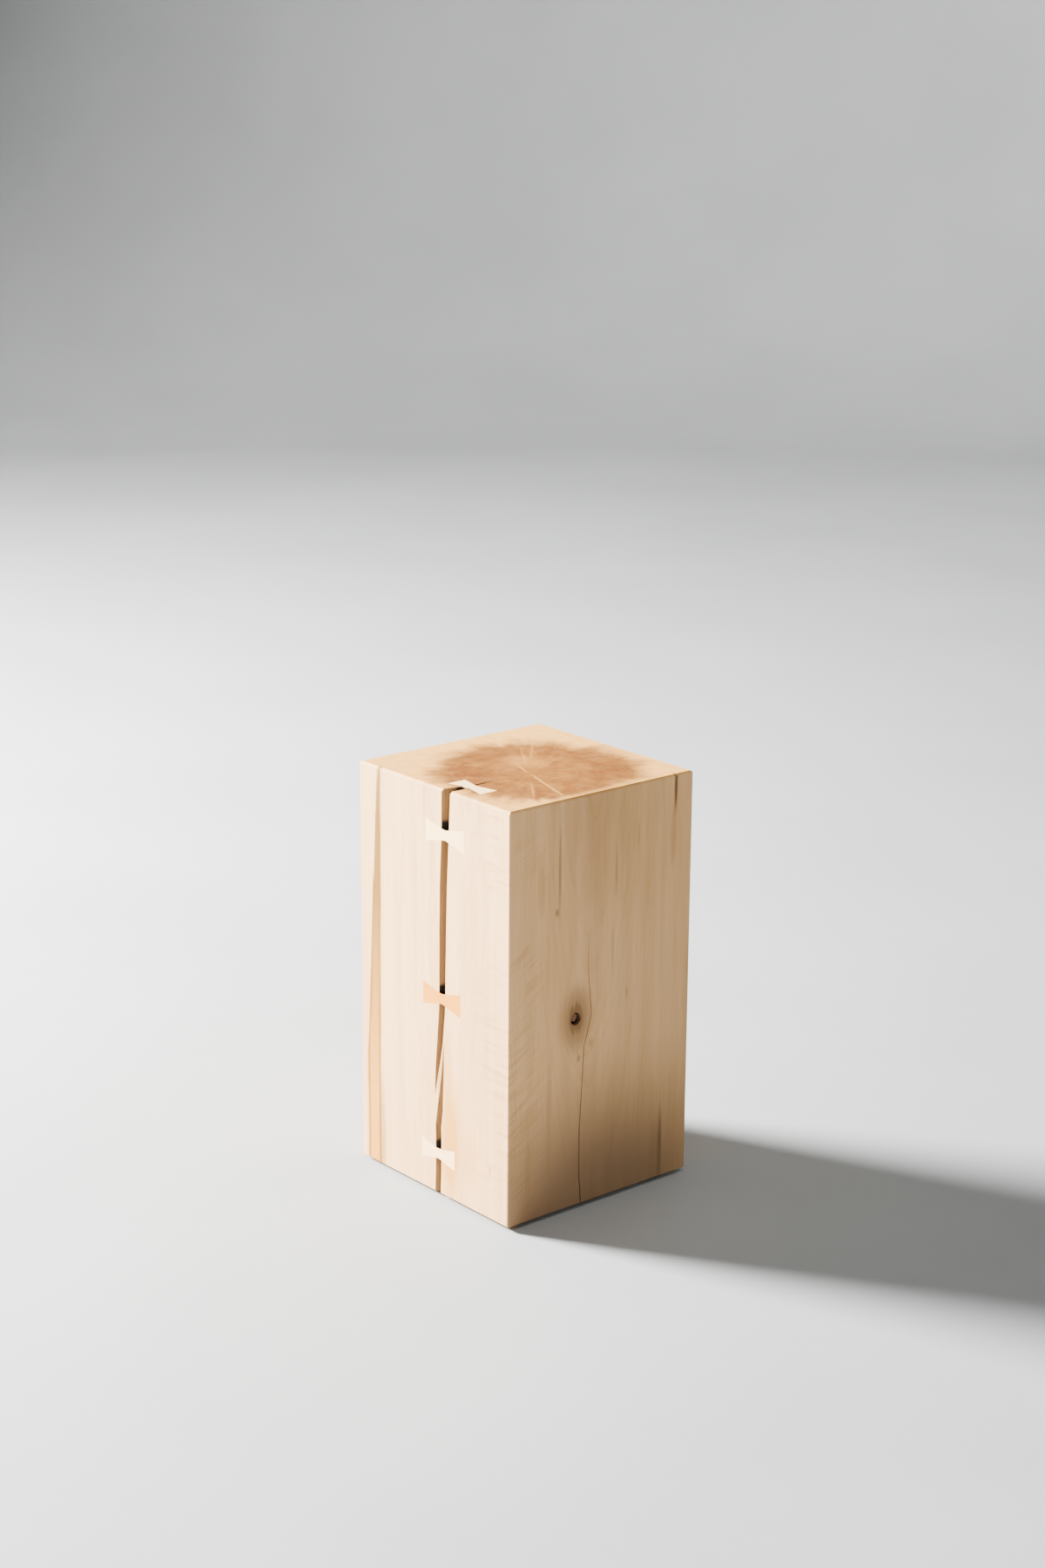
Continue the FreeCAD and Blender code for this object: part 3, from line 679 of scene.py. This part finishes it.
class SIDETABLE_OT_block(bpy.types.Operator):
    """Make the timber block with its torn split"""
    bl_idname = "side_table.block"
    bl_label = "Timber block"

    def execute(self, context):
        look = context.scene.side_table_block
        piece = copy_of("timber_block", "seasoned_block")
        piece.data.materials.append(timber_material(look))
        piece.data.materials.append(split_material(look))
        piece.data.materials.append(knot_material(look))
        start_edit(piece)
        for slot, wanted in ((1, in_split), (2, in_knot)):
            pick_faces(piece, wanted)
            piece.active_material_index = slot
            bpy.ops.object.material_slot_assign()
        slice_faces(piece, 1, 2, FOOT, TOP, 4.0)
        slice_faces(piece, 1, 1, FRONT, -15.0, 3.0)
        for axis, middle, half, step in ((0, FACE - 12, 12, 1.5), (1, KNOT[1], 8, 1.0),
                                         (2, KNOT[2], 8, 1.0)):
            slice_faces(piece, 2, axis, middle - half, middle + half, step)
        bpy.ops.object.mode_set(mode="OBJECT")
        places = points_of_slot(piece, 1)
        dead = points_of_slot(piece, 2)

        def looseness(point):
            """How freely a point may wander: little at the lips and none at a key."""
            if tuple(point) not in places or in_key(point, 1.5):
                return 0.0
            return 0.3 + 0.7 * min(max((point.y - FRONT) / LIP, 0.0), 1.0)

        group = weigh(piece, "torn_walls", looseness)
        roughen(piece, group, "X", look.tear, (10000, 9, 46), 3)
        group = weigh(piece, "dead_knot", lambda point: float(tuple(point) in dead))
        for direction in "YZ":
            roughen(piece, group, direction, look.crumble, (6, 3.2, 3.2), 2)
        group = weigh(
            piece, "knot_end",
            lambda point: float(FACE - 4 < point.x < FACE - 0.5 and in_knot(point, None)))
        roughen(piece, group, "X", 2 * look.crumble, (50, 2.6, 2.6), 2)
        piece.vertex_groups.clear()
        bpy.ops.object.shade_smooth_by_angle(angle=math.radians(30))
        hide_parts("timber_block")
        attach(piece, BODY)
        return {"FINISHED"}


class SIDETABLE_OT_keys(bpy.types.Operator):
    """Finish the butterfly keys"""
    bl_idname = "side_table.keys"
    bl_label = "Butterfly keys"

    def execute(self, context):
        look = context.scene.side_table_keys
        pale = key_material("pale_hardwood_planed", look.pale)
        warm = key_material("warm_hardwood_planed", look.warm)
        for name in KEYS:
            wood = warm if name == "middle_key" else pale
            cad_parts[name].material_slots[0].material = wood
        return {"FINISHED"}


class SIDETABLE_OT_feet(bpy.types.Operator):
    """Finish the glides and the nails that hold them"""
    bl_idname = "side_table.feet"
    bl_label = "Glides and nails"

    def execute(self, context):
        look = context.scene.side_table_feet
        plastic = glide_material(look)
        for name in GLIDES:
            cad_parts[name].material_slots[0].material = plastic
        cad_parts["glide_nails"].material_slots[0].material = nail_material(look)
        return {"FINISHED"}


CAMERA_PLACE = Vector((2.2294, -1.8782, 1.2734))
CAMERA_AZIMUTH, CAMERA_ELEVATION, CAMERA_ROLL = 49.949, 15.948, 0.354
COVE_RADIUS, COVE_BEND, COVE_WALL = 5.0, 1.6, 2.6


def aim(place, target):
    """Turn for a light at a place, so that it shines at a target."""
    return (target - place).to_track_quat("-Z", "Y").to_euler()


class SIDETABLE_OT_studio(bpy.types.Operator):
    """Make the floor with its cove, the lights and the camera"""
    bl_idname = "side_table.studio"
    bl_label = "Floor, lights and camera"

    def execute(self, context):
        look = context.scene.side_table_studio
        bpy.ops.object.select_all(action="DESELECT")
        bpy.ops.mesh.primitive_circle_add(vertices=96, radius=COVE_RADIUS, fill_type="NGON")
        floor = context.object
        floor.name = "studio_floor"
        bpy.ops.object.mode_set(mode="EDIT")
        bpy.ops.mesh.select_mode(type="EDGE")
        bpy.ops.mesh.select_all(action="DESELECT")
        bpy.ops.mesh.select_non_manifold()
        # The cove bends up by 15 degrees at a time, and the last step is its upright wall.
        radius, height = COVE_RADIUS, 0.0
        for turn in range(15, 106, 15):
            angle = math.radians(min(turn, 90))
            new_radius = COVE_RADIUS + COVE_BEND * math.sin(angle)
            new_height = COVE_BEND * (1 - math.cos(angle)) + (COVE_WALL if turn > 90 else 0)
            bpy.ops.mesh.extrude_edges_move()
            bpy.ops.transform.resize(value=(new_radius / radius, new_radius / radius, 1))
            bpy.ops.transform.translate(value=(0, 0, new_height - height))
            radius, height = new_radius, new_height
        bpy.ops.object.mode_set(mode="OBJECT")
        bpy.ops.object.shade_smooth_by_angle(angle=math.radians(30))
        material, node, shader = blank_material("pale_smooth_screed")
        place = node("TexCoord", out="Object")
        mottle = node("TexNoise", {"Vector": place, "Scale": 2.2, "Detail": 5.0})
        tone = rgba(look.floor)
        grey = rgba([0.93 * c for c in look.floor])
        share = node("MapRange", mottle, 0.35, 0.65)
        connect(shader, Base_Color=blend(node, share, tone, grey))
        shader.inputs["Roughness"].default_value = 0.7
        floor.data.materials.append(material)

        world = bpy.data.worlds.new("room_light")
        context.scene.world = world
        world.use_nodes = True
        background = world.node_tree.nodes["Background"]
        background.inputs["Color"].default_value = (1.0, 0.985, 0.96, 1.0)
        background.inputs["Strength"].default_value = look.sky

        middle = Vector((0, 0, BLOCK_HIGH.z / 2))
        for name, side, size, power in (
            ("main_light", Vector((-3.21, -1.73, 1.78)), 1.1, look.key_power),
            ("fill_light", Vector((0.35, 0.1, 2.4)), 1.6, look.fill_power),
        ):
            bpy.ops.object.light_add(type="AREA", location=side, rotation=aim(side, middle))
            lamp = context.object
            lamp.name = name
            lamp.data.shape = "DISK"
            lamp.data.size = size
            lamp.data.energy = power

        azimuth, elevation = math.radians(CAMERA_AZIMUTH), math.radians(CAMERA_ELEVATION)
        back = Vector((math.sin(azimuth) * math.cos(elevation),
                       -math.cos(azimuth) * math.cos(elevation), math.sin(elevation)))
        right = Vector((math.cos(azimuth), math.sin(azimuth), 0))
        level = Matrix((right, back.cross(right), back)).transposed()
        turn = level @ Matrix.Rotation(math.radians(CAMERA_ROLL), 3, "Z")
        bpy.ops.object.camera_add(location=CAMERA_PLACE, rotation=turn.to_euler())
        camera = context.object
        camera.name = "viewpoint"
        camera.data.lens = look.lens
        camera.data.sensor_width = 36.0
        context.scene.camera = camera
        return {"FINISHED"}


class SIDETABLE_PT_pieces(bpy.types.Panel):
    """Lists what makes the side table and its studio"""
    bl_label = "Side table"
    bl_space_type = "VIEW_3D"
    bl_region_type = "UI"
    bl_category = "Side table"

    def draw(self, context):
        for maker in MAKERS:
            self.layout.operator(maker.bl_idname)


MAKERS = (SIDETABLE_OT_block, SIDETABLE_OT_keys, SIDETABLE_OT_feet, SIDETABLE_OT_studio)
LOOKS = (
    ("side_table_block", BlockLook),
    ("side_table_keys", KeyLook),
    ("side_table_feet", FeetLook),
    ("side_table_studio", StudioLook),
)


def register():
    """Add the classes, and their settings to each scene."""
    for name, look in LOOKS:
        bpy.utils.register_class(look)
        setattr(bpy.types.Scene, name, PointerProperty(type=look))
    for maker in (*MAKERS, SIDETABLE_PT_pieces):
        bpy.utils.register_class(maker)


def unregister():
    """Take the classes and settings away again."""
    for maker in reversed((*MAKERS, SIDETABLE_PT_pieces)):
        bpy.utils.unregister_class(maker)
    for name, look in reversed(LOOKS):
        delattr(bpy.types.Scene, name)
        bpy.utils.unregister_class(look)


def main():
    """Make everything in order."""
    register()
    bpy.ops.side_table.block()
    bpy.ops.side_table.keys()
    bpy.ops.side_table.feet()
    bpy.ops.side_table.studio()


if __name__ == "__main__":
    main()
